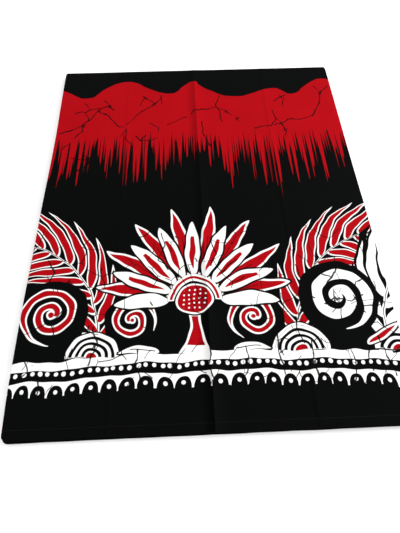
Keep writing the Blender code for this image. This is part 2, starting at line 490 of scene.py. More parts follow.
class Dyer:
    """Adds nodes to one tree: a material's, or that of a motif which a material uses several times."""

    def __init__(self, tree):
        self.tree = tree

    def node(self, kind, settings=(), sockets=()):
        """A node of a type: its settings first, then values or links for its sockets, by name or number."""
        made = self.tree.nodes.new(kind)
        for setting, value in dict(settings).items():
            setattr(made, setting, value)
        for key, value in dict(sockets).items():
            self.feed(made.inputs[key], value)
        return made

    def feed(self, socket, value):
        if isinstance(value, Measure):
            value = value.socket
        if isinstance(value, bpy.types.NodeSocket):
            self.tree.links.new(value, socket)
        else:
            socket.default_value = value

    def math(self, operation, *values):
        made = self.node("ShaderNodeMath", {"operation": operation}, enumerate(values))
        return Measure(self, made.outputs[0])

    def lengths(self):
        """Place on the cloth in millimetres: across from the panel's middle, and up from its lower edge."""
        flat_map = self.node("ShaderNodeUVMap", {"uv_map": "cloth_lengths"})
        parts = self.node("ShaderNodeSeparateXYZ", {}, {"Vector": flat_map.outputs["UV"]})
        return Measure(self, parts.outputs["X"]) * 1000.0, Measure(self, parts.outputs["Y"]) * 1000.0

    def spot(self, x, y, z=0.0):
        """A vector from three measures."""
        return self.node("ShaderNodeCombineXYZ", {}, {"X": x, "Y": y, "Z": z}).outputs["Vector"]

    def vector(self, operation, *values):
        """Vector arithmetic on place or colour."""
        made = self.node("ShaderNodeVectorMath", {"operation": operation}, enumerate(values))
        return made.outputs["Vector"]

    def dot(self, first, second):
        made = self.node("ShaderNodeVectorMath", {"operation": "DOT_PRODUCT"}, {0: first, 1: second})
        return Measure(self, made.outputs["Value"])

    def length_of(self, vector):
        made = self.node("ShaderNodeVectorMath", {"operation": "LENGTH"}, {0: vector})
        return Measure(self, made.outputs["Value"])

    def noise(self, vector, scale, detail=2.0):
        sockets = {"Vector": vector, "Scale": scale, "Detail": detail}
        made = self.node("ShaderNodeTexNoise", {"noise_dimensions": "2D"}, sockets)
        return Measure(self, made.outputs[0])

    def cracks(self, vector, scale):
        """Distance to the nearest edge between scattered cells, in cells."""
        made = self.node(
            "ShaderNodeTexVoronoi",
            {"feature": "DISTANCE_TO_EDGE", "voronoi_dimensions": "2D"},
            {"Vector": vector, "Scale": scale, "Randomness": 1.0},
        )
        return Measure(self, made.outputs["Distance"])

    def scaled(self, vector, share):
        made = self.node("ShaderNodeVectorMath", {"operation": "SCALE"}, {0: vector, "Scale": share})
        return made.outputs[0]

    def warped(self, u, v, scale, spread, detail=2.0):
        """A place pushed about by soft noise."""
        across = (self.noise(self.spot(u, v), scale, detail) - 0.5) * spread
        up = (self.noise(self.spot(v, u), scale, detail) - 0.5) * spread
        return self.spot(u + across, v + up)

    def mix(self, share, first, second):
        """A colour between two."""
        made = self.node("ShaderNodeMix", {"data_type": "RGBA"}, {0: share, 6: first, 7: second})
        return made.outputs[2]


class Finish(Dyer):
    """Adds the nodes of one material, round its Principled shader."""

    def __init__(self, name):
        self.material = bpy.data.materials.new(name)
        self.material.use_nodes = True
        super().__init__(self.material.node_tree)
        self.shader = self.tree.nodes["Principled BSDF"]

    def looks(self, sockets):
        """Sets or links the shader's sockets, by name."""
        for name, value in sockets.items():
            self.feed(self.shader.inputs[name], value)


def function_of(operation):
    """A function of one or two measures that adds a Math node."""
    def function(value, *others):
        return value.dyer.math(operation, value, *others)
    return function


sine, cosine, angle_of = function_of("SINE"), function_of("COSINE"), function_of("ARCTAN2")
root, size = function_of("SQRT"), function_of("ABSOLUTE")
floor, fraction = function_of("FLOOR"), function_of("FRACT")
least, most = function_of("MINIMUM"), function_of("MAXIMUM")


def clamp(value):
    """A value kept from 0 to 1, by a Clamp node: a Math node's own clamp would be worked out too late."""
    made = value.dyer.node("ShaderNodeClamp", {}, {"Value": value})
    return Measure(value.dyer, made.outputs[0])


def nearest(value):
    return floor(value + 0.5)


def chance(cell, seed):
    """A number from 0 to 1 that looks random, the same for the same cell."""
    return fraction(sine(cell * 12.9898 + seed * 7.31) * 437.585)


def jitter(cell, seed, spread):
    """A chance shift of a cell, half the spread either way at most."""
    return (chance(cell, seed) - 0.5) * spread


def away(x, y):
    return root(x * x + y * y)


def inside(distance, soft=0.5):
    """1 inside a shape and 0 outside, from its signed distance in millimetres."""
    return clamp(distance.dyer.math("MULTIPLY_ADD", distance, -1.0 / soft, 0.5))


def profile(value, points):
    """A smooth curve through points, as a Float Curve node over their range."""
    dyer = value.dyer
    xs = [point[0] for point in points]
    ys = [point[1] for point in points]
    low, high = min(ys), max(ys)
    made = dyer.node("ShaderNodeFloatCurve", {}, {"Value": (value - xs[0]) * (1.0 / (xs[-1] - xs[0]))})
    curve = made.mapping.curves[0]
    places = [((x - xs[0]) / (xs[-1] - xs[0]), (y - low) / (high - low)) for x, y in points]
    curve.points[0].location = places[0]
    curve.points[-1].location = places[-1]
    for spot in places[1:-1]:
        curve.points.new(*spot)
    made.mapping.update()
    return Measure(dyer, made.outputs[0]) * (high - low) + low


class Dye:
    """How much of the cloth's white and red show at a place, with black for the rest."""

    def __init__(self, white, red):
        self.white_share = white
        self.red_share = red

    def clear(self, mask):
        return Dye(self.white_share * (1.0 - mask), self.red_share * (1.0 - mask))

    def white(self, mask):
        return Dye(self.white_share + (1.0 - self.white_share) * mask, self.red_share * (1.0 - mask))

    def red(self, mask):
        return Dye(self.white_share * (1.0 - mask), self.red_share + (1.0 - self.red_share) * mask)


def motif(dye, shape, core=None, halo=2.2, cored=1.0):
    """A white shape with a black rim, and a red core where one is given."""
    dye = dye.clear(inside(shape - halo)).white(inside(shape))
    if core is not None:
        dye = dye.red(inside(core) * cored)
    return dye


def new_group(name, numbers, results, vectors=()):
    """A new group of nodes with these sockets: what adds its nodes, and its inputs by name."""
    tree = bpy.data.node_groups.new(name, "ShaderNodeTree")
    for way, kind, sockets in (
        ("INPUT", "Vector", vectors),
        ("INPUT", "Float", numbers),
        ("OUTPUT", "Float", results),
    ):
        for socket in sockets:
            tree.interface.new_socket(socket, in_out=way, socket_type="NodeSocket" + kind)
    dyer = Dyer(tree)
    given = dyer.node("NodeGroupInput").outputs
    return dyer, {socket.name: Measure(dyer, socket) for socket in given if socket.name}


def motif_group(draw, fields):
    """A group of nodes that adds one motif to a dye, with a socket for each field of its table."""
    shares = ("White", "Red")
    dyer, form = new_group(draw.__name__, ("Across", "Up") + shares + tuple(fields), shares)
    drawn = draw(Dye(form["White"], form["Red"]), form["Across"], form["Up"], form)
    dyer.node("NodeGroupOutput", {}, {"White": drawn.white_share, "Red": drawn.red_share})
    return dyer.tree


def draw_each(draw, forms, dye, u, v):
    """Adds a motif to a dye for each row of its table."""
    tree = motif_group(draw, forms[0])
    dyer = u.dyer
    for form in forms:
        sockets = {"Across": u, "Up": v, "White": dye.white_share, "Red": dye.red_share, **form}
        made = dyer.node("ShaderNodeGroup", {"node_tree": tree}, sockets)
        dye = Dye(Measure(dyer, made.outputs["White"]), Measure(dyer, made.outputs["Red"]))
    return dye


# Artwork in millimetres: across from the panel's middle, up from its lower edge
WAVE_TOP = (
    (-240, 552), (-226, 543), (-214, 536), (-202, 528), (-191, 524), (-180, 525), (-170, 533), (-160, 544),
    (-148, 553), (-135, 560), (-119, 563), (-106, 560), (-90, 549), (-73, 539), (-59, 533), (-46, 531),
    (-35, 535), (-27, 545), (-18, 553), (-3, 560), (2, 553), (13, 542), (26, 534), (38, 526), (53, 521),
    (72, 520), (83, 523), (99, 529), (110, 534), (121, 537), (132, 538), (140, 535), (150, 527), (158, 523),
    (169, 526), (179, 536), (192, 547), (204, 555), (217, 559), (227, 557), (240, 550),
)
# How far down the drips reach, and the rows of drips: "rise" and "span" place a tip above that line,
# "root" and "root_span" place its upper end. The gaps are black wedges between the drips.
TIPS = (
    (-240, 350), (-224, 356), (-205, 366), (-186, 368), (-175, 354), (-171, 405), (-160, 408), (-154, 374),
    (-140, 376), (-121, 350), (-117, 348), (-108, 366), (-96, 344), (-85, 343), (-81, 404), (-75, 404),
    (-68, 374), (-54, 366), (-42, 376), (-34, 392), (-18, 384), (-8, 366), (0, 402), (12, 384), (36, 380),
    (42, 358), (60, 350), (72, 362), (80, 340), (92, 352), (104, 334), (117, 329), (120, 396), (131, 394),
    (136, 356), (150, 345), (161, 364), (176, 353), (193, 351), (204, 334), (210, 384), (224, 376),
    (240, 372),
)
FIELD_EDGE = 430.0
SHORTEST_DRIP = 12.0
DRIPS = table(
    "seed pitch rise span root root_span full fall",
    (1, 6.9, -22, 28, 424, 16, 0.42, 0.58),
    (2, 4.7, -6, 46, 428, 12, 0.41, 0.66),
    (5, 14.3, -30, 18, 428, 12, 0.17, 0.50),
)
GAPS = table(
    "seed pitch low low_span top top_span width share",
    (11, 8.3, 362, 30, 412, 30, 2.0, 0.78),
    (15, 14.9, 350, 30, 422, 24, 3.5, 0.66),
)
SPRAYS = table(
    "x y radius hand sweep pitch leaf width core",
    (-268, 108, 134, 1, 1.66, 23, 54, 11.6, 1),
    (246, 108, 136, -1, 1.56, 23, 50, 11.8, 1),
    (352, 100, 138, -1, 1.46, 26, 62, 12.5, 0),
)
SCROLLS = table(
    "x y radius pitch hand start core",
    (-192, 140, 38, 18.5, 1, -1.9, 1),
    (-92, 128, 29, 15.5, -1, -1.9, 1),
    (56, 128, 31, 16.0, 1, -1.7, 1),
    (164, 150, 42, 21.0, -1, -1.6, 0),
)
HILLS = table(
    "x y radius step",
    (-138, 85, 32, 7.2),
    (108, 85, 34, 7.2),
    (222, 83, 26, 7.2),
)
LEAVES = table(
    "x y heading length width bend core",
    (-60, 89, 2.88, 46, 9, 0.25, 0),
    (28, 89, 0.26, 44, 9, -0.25, 0),
    (188, 89, 0.61, 50, 10, -0.10, 1),
)
FLOWER = {"x": -16.0, "y": 154.0, "ring": 32.0, "spread": 1.62, "head": 23.0}
PETALS = table(
    "pitch phase length width sway short seed margin core_reach vein",
    (0.40, 0.5, 112, 12.4, 0.088, 0.07, 1, 2.6, 2.0, 1),
    (0.40, 0.0, 82, 12.4, 0.070, 0.05, 2, 5.2, 0.72, 0),
)

# The bands at the hem, with heights counted from the middle of the black band
BANDS = {"middle": 71.4, "sag": 0.000165, "top": 16.2, "foot": -23.8, "black_half": 6.2}
SCALLOPS = {
    "pitch": 19.9, "half": 9.2, "tall": 14.2, "foot": -24.0, "cut": -22.9,
    "shift": 7.7, "sway": 4.2, "dot": 2.3, "dot_up": -17.3,
}
BAND_DOTS = {"pitch": 9.3, "up": 2.2, "radius": 2.5}

# Cracks: half their width, and the points they run through
CRACKS = (
    (0.30, (-205, 489), (-186, 492)),
    (0.62, (-186, 491), (-177, 498), (-164, 500), (-149, 503), (-140, 494)),
    (0.30, (-156, 517), (-145, 503)),
    (0.28, (-188, 510), (-178, 501)),
    (0.45, (-187, 490), (-181, 472), (-187, 460)),
    (0.40, (-164, 494), (-177, 476), (-187, 460), (-188, 448), (-197, 435)),
    (0.50, (-187, 460), (-204, 450), (-224, 444)),
    (0.50, (-164, 494), (-148, 478), (-132, 459), (-123, 455)),
    (0.40, (-117, 460), (-103, 480), (-72, 507), (-60, 519)),
    (0.32, (-60, 526), (-59, 510)),
    (0.30, (-72, 507), (-84, 517), (-93, 526)),
    (0.30, (-88, 521), (-98, 506)),
    (0.42, (-119, 449), (-115, 429), (-107, 408)),
    (0.30, (-119, 447), (-126, 433)),
    (0.30, (-80, 466), (-66, 454), (-65, 443)),
    (0.35, (-52, 456), (-21, 474)),
    (0.70, (-101, 434), (-94, 424)),
    (0.30, (-88, 436), (-94, 424), (-68, 428)),
    (0.32, (-10, 481), (-5, 489), (9, 490), (28, 493), (46, 484), (54, 475)),
    (0.42, (-198, 391), (-181, 389), (-165, 392)),
    (0.42, (-194, 365), (-181, 370), (-173, 378)),
    (0.36, (-179, 397), (-166, 376)),
    (0.36, (-168, 398), (-174, 378)),
    (0.30, (-184, 361), (-177, 355)),
    (0.35, (-218, 413), (-204, 423)),
    (0.40, (39, 523), (29, 501), (33, 486), (38, 463)),
    (0.42, (89, 445), (120, 451), (125, 467), (122, 483)),
    (0.45, (124, 451), (134, 454), (147, 462), (170, 463), (185, 469), (199, 491), (209, 523), (224, 540)),
    (0.30, (125, 466), (134, 454), (138, 440), (136, 428)),
    (0.40, (128, 507), (141, 516), (151, 521)),
    (0.30, (146, 513), (140, 495)),
    (0.35, (4, 462), (7, 433), (15, 413)),
    (0.28, (201, 542), (206, 531)),
)
BORDER_CRACKS = (
    (0.42, (118, 196), (123, 172), (121, 150)),
    (0.40, (112, 131), (106, 112), (112, 93)),
    (0.45, (172, 208), (166, 186), (150, 168)),
    (0.40, (196, 152), (178, 144), (160, 149), (146, 143)),
    (0.42, (158, 160), (164, 134), (160, 118)),
    (0.40, (206, 178), (190, 168), (184, 146), (196, 128)),
    (0.36, (214, 140), (198, 137), (181, 132)),
    (0.36, (133, 175), (146, 182), (158, 179)),
    (0.45, (84, 104), (80, 84), (86, 60)),
    (0.42, (122, 98), (118, 70), (124, 48)),
    (0.42, (166, 96), (170, 70), (163, 50)),
    (0.42, (203, 98), (206, 74), (213, 52)),
    (0.40, (187, 84), (183, 70), (186, 58)),
    (0.40, (2, 96), (-3, 74), (4, 54)),
    (0.42, (42, 92), (46, 72), (36, 56)),
    (0.40, (-58, 252), (-52, 232), (-60, 210), (-50, 196)),
    (0.40, (8, 240), (14, 218), (6, 200)),
    (0.36, (40, 206), (26, 198), (18, 188)),
    (0.38, (-206, 214), (-196, 196), (-202, 180)),
    (0.40, (-176, 150), (-192, 128), (-186, 110)),
    (0.40, (-138, 122), (-134, 98), (-141, 78)),
    (0.36, (-216, 92), (-212, 74), (-219, 60)),
    (0.36, (-84, 94), (-88, 76), (-80, 58)),
)
KNOT_REACH = 5.0
KNOT_HEART = 1.8
KNOTS = (
    (-164, 495), (-147, 502), (-187, 460), (-73, 507), (-88, 521), (-174, 389), (-166, 378), (-192, 362),
    (46, 484), (63, 467), (134, 454), (138, 439), (209, 523), (141, 516), (15, 412),
    (162, 147), (185, 133), (185, 148), (120, 71), (84, 84), (-136, 98),
)


def petals(dye, u, v, form):
    """A fan of pointed petals, white inside a black rim with a red core that reaches part of the way out."""
    x, y = u - FLOWER["x"], v - FLOWER["y"]
    ring, spread = FLOWER["ring"], FLOWER["spread"]
    distance, turn = away(x, y), angle_of(x, y)
    petal = nearest(turn / form["pitch"] - form["phase"])
    middle = (petal + form["phase"]) * form["pitch"]
    shorter = 1.0 - form["short"] * middle * middle
    reach = shorter * (0.93 + 0.14 * chance(petal, form["seed"])) * form["length"]
    out = clamp((distance - ring) / reach)
    sway = sine(out * (math.pi * 1.15)) * (chance(petal, form["seed"] + 3.0) - 0.5) * form["sway"]
    side = size(distance * sine(turn - middle + sway))
    half = out ** 0.62 * (1.0 - out) ** 0.72 * form["width"] * 1.93
    shape = most((side - half) * 0.9, most(ring - distance, distance - ring - reach))
    shape = most(shape, (size(middle) - spread) * 60.0)
    dye = motif(dye, shape, most(shape + form["margin"], distance - ring - reach * form["core_reach"]))
    vein = most(side - 0.8 * (1.0 - out), distance - ring - reach * 0.55)
    return dye.clear(inside(vein) * inside(shape + 2.6) * form["vein"])


def cup(dye, u, v):
    """The plain banded cup inside the petals, and its dotted round middle."""
    x, y = u - FLOWER["x"], v - FLOWER["y"]
    fan = (size(angle_of(x, y)) - FLOWER["spread"]) * 60.0
    band = size(away(x, y) - FLOWER["ring"] + 3.0)
    dye = motif(dye, most(band - 5.0, fan), most(band - 1.7, fan + 3.0), 0.5)
    shape = away(x, y * 1.12) - FLOWER["head"]
    dye = motif(dye, shape, shape + 2.6)
    across, up, dot_radius = 6.5, 6.0, 1.25
    dot = away(x - nearest(x / across) * across, y - nearest(y / up) * up) - dot_radius
    return dye.white(inside(most(dot, shape + 5.5)))


def stalk(dye, u, v, x, foot, neck, low, high):
    """A flared stem that rises from the base band."""
    share = 1.0 - clamp((v - low) * (1.0 / (high - low)))
    side = size(u - x) - (share * share * share * (foot - neck) + neck)
    shape = most(side, most(low - v, v - high))
    return motif(dye, shape, most(side + 3.0, most(low + 9.0 - v, v - high + 3.0)), 1.8)


def hill(dye, u, v, form):
    """A half round hill of even bands."""
    distance = away(u - form["x"], (v - form["y"]) * 1.05)
    below = form["y"] - v
    dye = motif(dye, most(distance - form["radius"], below), None, 1.8)
    step = form["step"]
    band = size(distance - (floor(distance / step) + 0.5) * step) - step * 0.26
    dye = dye.clear(inside(most(band, most(distance - form["radius"] + 3.0, below + 0.5))))
    return dye.red(inside(most(distance - step * 0.9, below)))


def scroll(dye, u, v, form):
    """A spiral of even pitch that thins out at its ends."""
    x, y = (u - form["x"]) * form["hand"], v - form["y"]
    pitch = form["pitch"]
    distance = away(x, y)
    turn = angle_of(y, x) - form["start"]
    place_in = distance / pitch - turn * (0.5 / math.pi)
    winding = nearest(place_in)
    along = winding * (2.0 * math.pi) + turn
    total = form["radius"] / pitch * (2.0 * math.pi)
    dye = dye.clear(inside(distance - form["radius"] - pitch * 0.4))
    width = 0.31 * pitch * clamp(along * 0.25 + 0.35) * clamp((total + 0.1 - along) * 0.62)
    shape = size(place_in - winding) * pitch - width
    shape = most(shape, (along - total) * distance * 0.9)
    shape = most(shape, (0.9 - along) * 3.0)
    shape = least(shape, distance - pitch * 0.30)
    return motif(dye, shape, shape + 2.3, 1.6, form["core"])


def spray(dye, u, v, form):
    """A curved stem with leaves on both sides."""
    slope, curve, stem, start = 0.9, 0.010, 2.4, -0.14
    radius, length, pitch = form["radius"], form["radius"] * form["sweep"], form["pitch"]
    x, y = (u - form["x"]) * form["hand"], v - form["y"]
    distance = away(x, y)
    turn = angle_of(y, x) - start
    turn = turn - floor((turn + 0.6) * (0.5 / math.pi)) * (2.0 * math.pi)
    along = turn * radius
    offset = distance - radius
    across = size(offset)
    slanted = along - across * slope - across * across * curve + offset / (across + 0.01) * (pitch * 0.25)
    leaf = nearest(slanted / pitch)
    foot = leaf * pitch
    beside = size(slanted - foot) * (1.0 / math.sqrt(1.0 + slope * slope))
    share = clamp(foot / length)
    reach = (share ** 0.8 * (1.0 - share) ** 0.55 * (1.9 * 0.95) + 0.35) * form["leaf"]
    out = clamp(across / reach)
    half = out ** 0.45 * (1.0 - out) ** 0.75 * form["width"] * (2.3 * 0.62)
    leaves = most(most(beside - half, across - reach), most(-foot - pitch * 0.4, foot - length))
    taper = (1.0 - clamp(along / length * (1.0 / 1.1)) * 0.75) * stem
    stem_shape = most(across - taper, most(-along, along - length * 1.06))
    dye = motif(dye, least(leaves, stem_shape), leaves + 1.9, 7.0, form["core"])
    return dye.clear(inside(most(across - 0.5, most(-along, along - length))))


def single_leaf(dye, u, v, form):
    """One curved leaf, with a red core or with a vein."""
    east, north = cosine(form["heading"]), sine(form["heading"])
    x, y = u - form["x"], v - form["y"]
    ahead = x * east + y * north
    length = form["length"]
    share = clamp(ahead / length)
    side = size(y * east - x * north - share * share * form["bend"] * length)
    half = share ** 0.55 * (1.0 - share) ** 0.8 * form["width"] * 1.38
    shape = most((side - half) * 0.93, most(-ahead, ahead - length))
    dye = motif(dye, shape, shape + 2.4, 1.8, form["core"])
    vein = most(side - 0.6, most(length * 0.1 - ahead, ahead - length * 0.75))
    return dye.clear(inside(vein) * inside(shape + 1.0) * (1.0 - form["core"]))


def figured_band(dye, u, v):
    """The border's plants: leaf sprays and scrolls between banded hills, with one large flower."""
    dye = draw_each(spray, SPRAYS, dye, u, v)
    dye = draw_each(scroll, SCROLLS, dye, u, v)
    dye = draw_each(hill, HILLS, dye, u, v)
    dye = stalk(dye, u, v, FLOWER["x"], foot=20.0, neck=7.0, low=86.0, high=FLOWER["y"] - 20.0)
    dye = draw_each(petals, PETALS, dye, u, v)
    dye = cup(dye, u, v)
    return draw_each(single_leaf, LEAVES, dye, u, v)


def drips(u, v):
    """The share of red in the long drips that hang from the red field, and the field itself."""
    field = sine(u * 0.5) * 2.5 + sine(u * 1.7) * 3.0 + sine(u * 0.041) * 3.0 + FIELD_EDGE
    red = inside(field - v, 1.2)
    for drip in DRIPS:
        pitch, seed = drip["pitch"], drip["seed"]
        number = nearest(u / pitch)
        middle = number * pitch + jitter(number, seed, pitch * 0.45)
        top = chance(number, seed + 2) * drip["root_span"] + drip["root"]
        tip = profile(middle, TIPS) + (chance(number, seed + 1) * drip["span"] + drip["rise"])
        tip = least(tip, top - SHORTEST_DRIP)
        share = clamp((v - tip) / (top - tip))
        half = share ** drip["fall"] * (pitch * drip["full"] * (0.7 + 0.6 * chance(number, seed + 5)))
        red = most(red, inside(most(size(u - middle) - half, tip - v), 0.6))
    for gap in GAPS:
        pitch, seed = gap["pitch"], gap["seed"]
        number = nearest(u / pitch)
        middle = number * pitch + jitter(number, seed, pitch * 0.6)
        low = chance(number, seed + 1) * gap["low_span"] + gap["low"]
        top = chance(number, seed + 2) * gap["top_span"] + gap["top"]
        wedge = size(u - middle) - clamp((top - v) / (top - low)) * gap["width"]
        wedge = most(wedge, most(v - top, (chance(number, seed + 3) - gap["share"]) * 10.0))
        red = red * (1.0 - inside(wedge, 0.6))
    return red


def scallops(dye, u, y):
    """A row of black arches in the lower white band, each with a white dot."""
    pitch, half = SCALLOPS["pitch"], SCALLOPS["half"]
    shifted = u - SCALLOPS["shift"] - SCALLOPS["sway"] * sine(u * 0.0165 + 0.75)
    number = nearest(shifted / pitch)
    beside = shifted - number * pitch + jitter(number, 21, 1.5)
    lean = clamp((-10.5 - y) * (1.0 / 13.0)) * 0.9
    side = size(beside + lean)
    share = clamp(side / half)
    arch = root(1.0 - share ** 2.5) * SCALLOPS["tall"] + SCALLOPS["foot"] + jitter(number, 22, 1.2)
    shape = least(most(y - arch, side - half), y - SCALLOPS["cut"] + jitter(number, 25, 1.2))
    dye = dye.clear(inside(shape))
    dot = away(beside + 0.4, y - SCALLOPS["dot_up"] - jitter(number, 23, 1.2)) - SCALLOPS["dot"]
    return dye.white(inside(dot))


def band_dots(dye, u, y):
    """The row of white dots in the black band, a little uneven in place and size."""
    pitch = BAND_DOTS["pitch"]
    number = nearest(u / pitch)
    beside = u - number * pitch - jitter(number, 31, 2.2)
    above = y - BAND_DOTS["up"] - jitter(number, 32, 1.6)
    dot = away(beside, above) - BAND_DOTS["radius"] - jitter(number, 33, 0.4)
    return dye.white(inside(dot))


def lower_bands(dye, u, v, wavering_v):
    """The bands at the hem: a plain white one, the black one with dots, and the white one with scallops."""
    from_middle = least(size(u + 5.0), 225.0)
    middle = BANDS["middle"] - BANDS["sag"] * from_middle * from_middle + 0.8 * sine(u * 0.05)
    y = wavering_v - middle
    top = sine(u * 0.08 + 1.0) * 0.7 + sine(u * 0.23) * 0.4 + BANDS["top"]
    dye = dye.white(inside(most(BANDS["foot"] - y, y - top)))
    dye = scallops(dye, u, y)
    dye = dye.clear(inside(size(y) - BANDS["black_half"] - 0.35 * sine(u * 0.07)))
    return band_dots(dye, u, y)


def crack_group():
    """A group of nodes: the distance to the nearest of the cracks so far and one straight stretch more."""
    dyer, given = new_group("crack", ("Half", "Nearest"), ("Nearest",), ("Place", "Start", "Reach"))
    reach = given["Reach"]
    from_start = dyer.vector("SUBTRACT", given["Place"], given["Start"])
    share = clamp(dyer.dot(from_start, reach) / dyer.dot(reach, reach))
    beside = dyer.vector("SUBTRACT", from_start, dyer.scaled(reach, share))
    gap = dyer.length_of(beside) - given["Half"]
    dyer.node("NodeGroupOutput", {}, {"Nearest": least(gap, given["Nearest"])})
    return dyer.tree


def knot_group():
    """A group of nodes: the distance to the nearest of the knots so far and one more."""
    dyer, given = new_group("knot", ("Across", "Up", "Nearest"), ("Nearest",))
    x, y = given["Across"], given["Up"]
    arms = least(size(x + y * 0.45) - 0.7, size(y - x * 0.7) - 0.65)
    distance = away(x, y)
    star = least(most(arms, distance - KNOT_REACH), distance - KNOT_HEART)
    dyer.node("NodeGroupOutput", {}, {"Nearest": least(star, given["Nearest"])})
    return dyer.tree


def crack_lines(dyer, u, v):
    """Long fine cracks, where the wax broke and the black dye ran in, with a knot at some ends."""
    spot = dyer.spot(u, v)
    place_here = dyer.warped(u, v, 0.045, 9.0, 1.0)
    crack_tree, knot_tree = crack_group(), knot_group()
    far_off = 50.0
    gap = far_off
    for half, *line in CRACKS + BORDER_CRACKS:
        for start, end in zip(line, line[1:]):
            made = dyer.node("ShaderNodeGroup", {"node_tree": crack_tree}, {
                "Place": place_here,
                "Start": (start[0], start[1], 0.0),
                "Reach": (end[0] - start[0], end[1] - start[1], 0.0),
                "Half": half,
                "Nearest": gap,
            })
            gap = Measure(dyer, made.outputs["Nearest"])
    worn = (dyer.noise(spot, 0.16, 1.0) - 0.5) * 1.1
    lines = inside(gap + worn - 0.42, 0.5)
    gap = far_off
    for x, y in KNOTS:
        sockets = {"Across": u - float(x), "Up": v - float(y), "Nearest": gap}
        made = dyer.node("ShaderNodeGroup", {"node_tree": knot_tree}, sockets)
        gap = Measure(dyer, made.outputs["Nearest"])
    return most(lines, inside(gap))


def crackle(dyer, u, v):
    """Sparse broken hairlines over the border and its white bands."""
    warped = dyer.warped(u, v, 0.014, 40.0)
    broken = dyer.noise(dyer.spot(u, v), 0.030)
    cell, half, highest = 34.0, 0.50, 262.0
    line = inside(dyer.cracks(warped, 1.0 / cell) * cell - half, 0.4) * inside((0.51 - broken) * 30.0)
    return line * inside(v - highest)


def scratches(dyer, u, v):
    """Short slanting hairlines across the white bands."""
    east, north = 0.62, 0.79
    slanted = u * east + v * north
    beside = v * east - u * north + (dyer.noise(dyer.spot(u, v), 0.05) - 0.5) * 7.0
    pitch, length, half, lowest, highest = 11.0, 23.0, 0.46, 44.0, 92.0
    number = nearest(beside / pitch)
    stretch = floor(slanted * (1.0 / length) + chance(number, 51))
    cell = number * 3.0 + stretch * 17.0
    line = size(beside - number * pitch - jitter(cell, 52, 6.0)) - half
    line = most(line, most(v - highest, lowest - v))
    return inside(most(line, (0.77 - chance(cell, 53)) * 9.0))


def pressed_lines(dyer, u, v):
    """The pressed creases on the cloth's own map: their height in millimetres, and their change of colour:
    painted shade on each crease's low side and a painted highlight on its high side.
    """
    height, change = 0.0, 0.0
    # shade darkens a crease's low side as painted shade; shine lightens its high side as a painted
    # highlight, strongest at the near edge
    shade, shine = 0.58, 0.18
    up_share = clamp(v * (0.001 / LENGTH))
    for crease in CREASES:
        if crease["across"] != "x":
            continue
        near, far = crease["near"] * 1000.0, crease["far"] * 1000.0
        stand = up_share * (far - near) + near
        from_line = u - crease["at"] * 1000.0 - up_share * (crease["drift"] * 1000.0)
        low_share = clamp(1.0 + from_line * (0.001 / crease["low_side"])) * inside(from_line, 0.6)
        high_share = clamp(1.0 - from_line * (0.001 / crease["high_side"])) * inside(-from_line, 0.6)
        height = height + (low_share * low_share + high_share * high_share) * stand
        steep = stand * stand
        change = change - low_share * steep * shade + high_share * high_share * steep * steep * shine
    return height, change


def woven(dyer, u, v, strength, ridges=None):
    """The weave and the soft handling of thin cotton as a bump, fed to the shader."""
    warp = sine(u * (2.0 * math.pi / WARP_PITCH))
    weft = sine(v * (2.0 * math.pi / WEFT_PITCH))
    spot = dyer.spot(u, v)
    slub = dyer.noise(dyer.spot(u * 0.12, v * 1.6), 0.9) - 0.5
    weave, slubs, handling, creases = 0.02, 0.03, 0.9, 2.0
    height = warp * weft * weave + slub * slubs
    height = height + (dyer.noise(spot, 0.055, 3.0) - 0.5) * handling
    if ridges is not None:
        height = height + ridges * creases
    bump = dyer.node("ShaderNodeBump", {}, {"Strength": strength, "Distance": 0.001, "Height": height})
    dyer.looks({"Normal": bump.outputs["Normal"], "Roughness": 0.80 + slub * 0.12})


def cotton(name):
    """The start of a dyed cotton material: matt, with little gloss of its own."""
    dyer = Finish(name)
    dyer.looks({"Specular IOR Level": 0.02, "Metallic": 0.0})
    return dyer


def batik_cotton(name):
    """White cotton dyed red and black through wax."""
    dyer = cotton(name)
    u, v = dyer.lengths()
    waver_u = sine(v * 0.105 + 1.3 * sine(u * 0.061)) * 0.9 + sine(u * 0.19 + v * 0.23) * 0.45
    waver_v = sine(u * 0.093 + 1.1 * sine(v * 0.071)) * 0.9 + sine(u * 0.21 - v * 0.17 + 2.0) * 0.45
    a, b = u + waver_u, v + waver_v
    dye = figured_band(Dye(0.0, 0.0), a, b)
    dye = lower_bands(dye, u, v, b)
    dye = dye.red(drips(u, v) * inside(v - profile(u, WAVE_TOP)))
    cracked = most(crack_lines(dyer, u, v), crackle(dyer, u, v))
    cracked = most(cracked, scratches(dyer, u, v))
    dye = dye.clear(cracked * 0.95)
    cloud = dyer.noise(dyer.spot(u, v), 0.018, 3.0)
    red = dyer.mix(cloud, DEEP_RED, RED)
    colour = dyer.mix(dye.white_share, BLACK, WHITE)
    colour = dyer.mix(dye.red_share, colour, red)
    ridges, change = pressed_lines(dyer, u, v)
    # Painted shade and painted highlight along the pressed creases scale the dye colour, less over white
    crease_painted_light = 1.0 + change * (1.0 - dye.white_share * 0.62)
    dyer.looks({"Base Color": dyer.scaled(colour, crease_painted_light)})
    woven(dyer, u, v, 0.5, ridges)
    return dyer.material


def black_cotton(name):
    """Cotton dyed black right through."""
    dyer = cotton(name)
    u, v = dyer.lengths()
    cloud = dyer.noise(dyer.spot(u, v), 0.02, 3.0)
    dyer.looks({"Base Color": dyer.mix(cloud, BLACK, WORN_BLACK)})
    woven(dyer, u, v, 0.5)
    return dyer.material


def sewing_thread(name):
    """Black sewing thread, a little glossier than the cloth."""
    dyer = Finish(name)
    dyer.looks({"Base Color": (0.007, 0.007, 0.008, 1.0), "Roughness": 0.5, "Specular IOR Level": 0.25})
    return dyer.material


